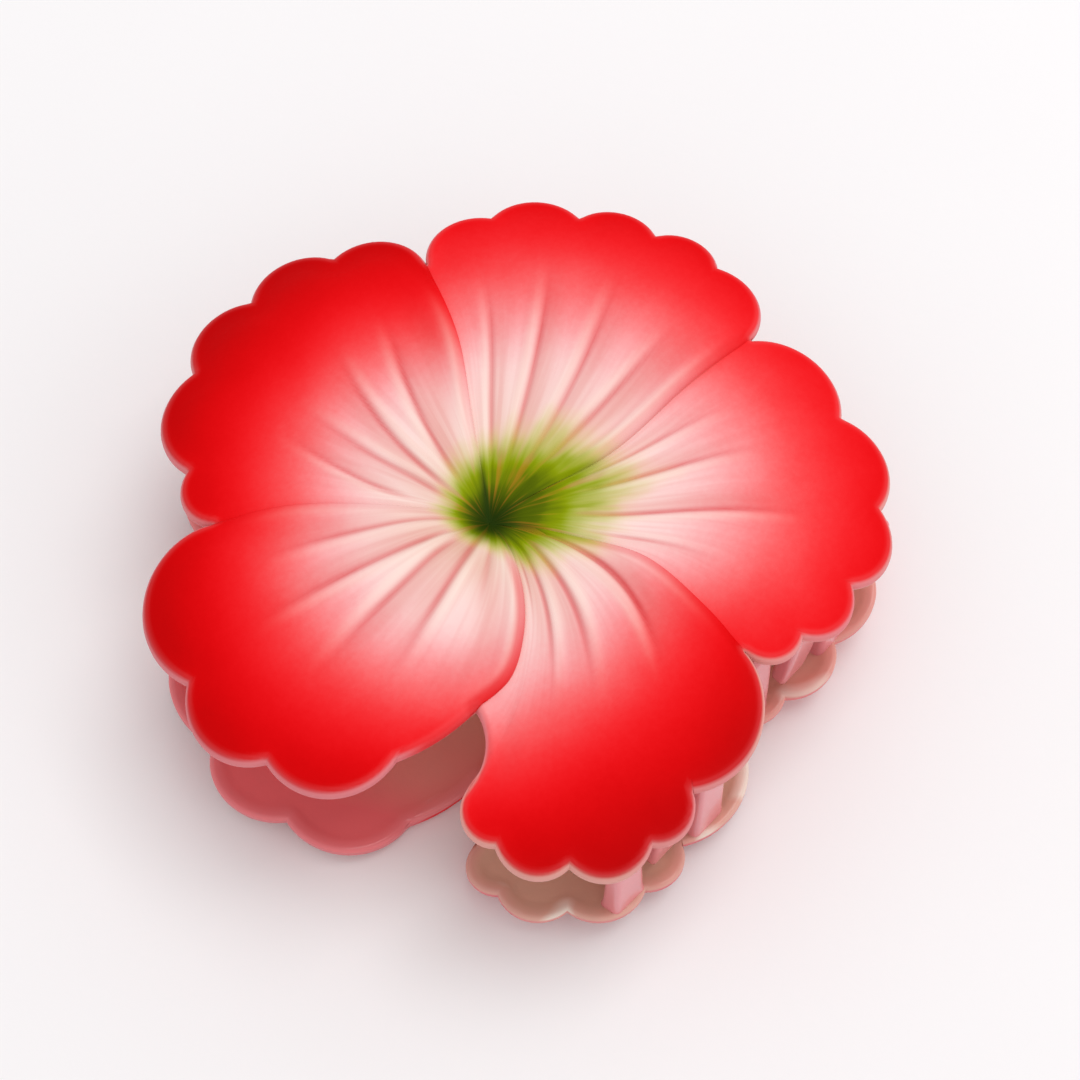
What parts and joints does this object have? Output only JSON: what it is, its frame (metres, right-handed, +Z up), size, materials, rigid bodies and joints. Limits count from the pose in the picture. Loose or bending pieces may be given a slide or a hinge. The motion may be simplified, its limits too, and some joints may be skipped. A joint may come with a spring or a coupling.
{
  "type": "flower claw clip",
  "caption": "Sprung claw clip for hair, made of two flower-shaped halves with overlapping scalloped petals, hinged behind the jaws with interleaving teeth.",
  "frame": {"origin": "centre of the clip's box at the level it lies on, under the rear flower's flat crest ring", "axes": "+Z up through the front flower's face, +Y toward the handle petal, -Y toward the jaws, +X along the hinge pin"},
  "size_m": [0.0762, 0.074, 0.0256],
  "materials": {
    "petal_paint": "satin sprayed red fading to white, green at the centre",
    "rear_petal_paint": "satin sprayed red fading to white, bare cream plastic inside",
    "pin_steel": "bright drawn steel",
    "spring_steel": "drawn spring wire"
  },
  "bodies": {
    "rear": {"rear_half": "rear_petal_paint", "hinge_pin": "pin_steel", "torsion_spring": "spring_steel"},
    "front": {"front_half": "petal_paint"}
  },
  "joints": [
    {"name": "jaw_hinge", "type": "hinge", "parent": "rear", "child": "front", "pos_m": [-0.00164, 0.00599, 0.0128], "axis": [-1, 0, 0], "range_deg": [0, 26], "stiffness_Nm_per_rad": 0.06, "springref_deg": -45.84, "deforming": ["torsion_spring"]}
  ]
}
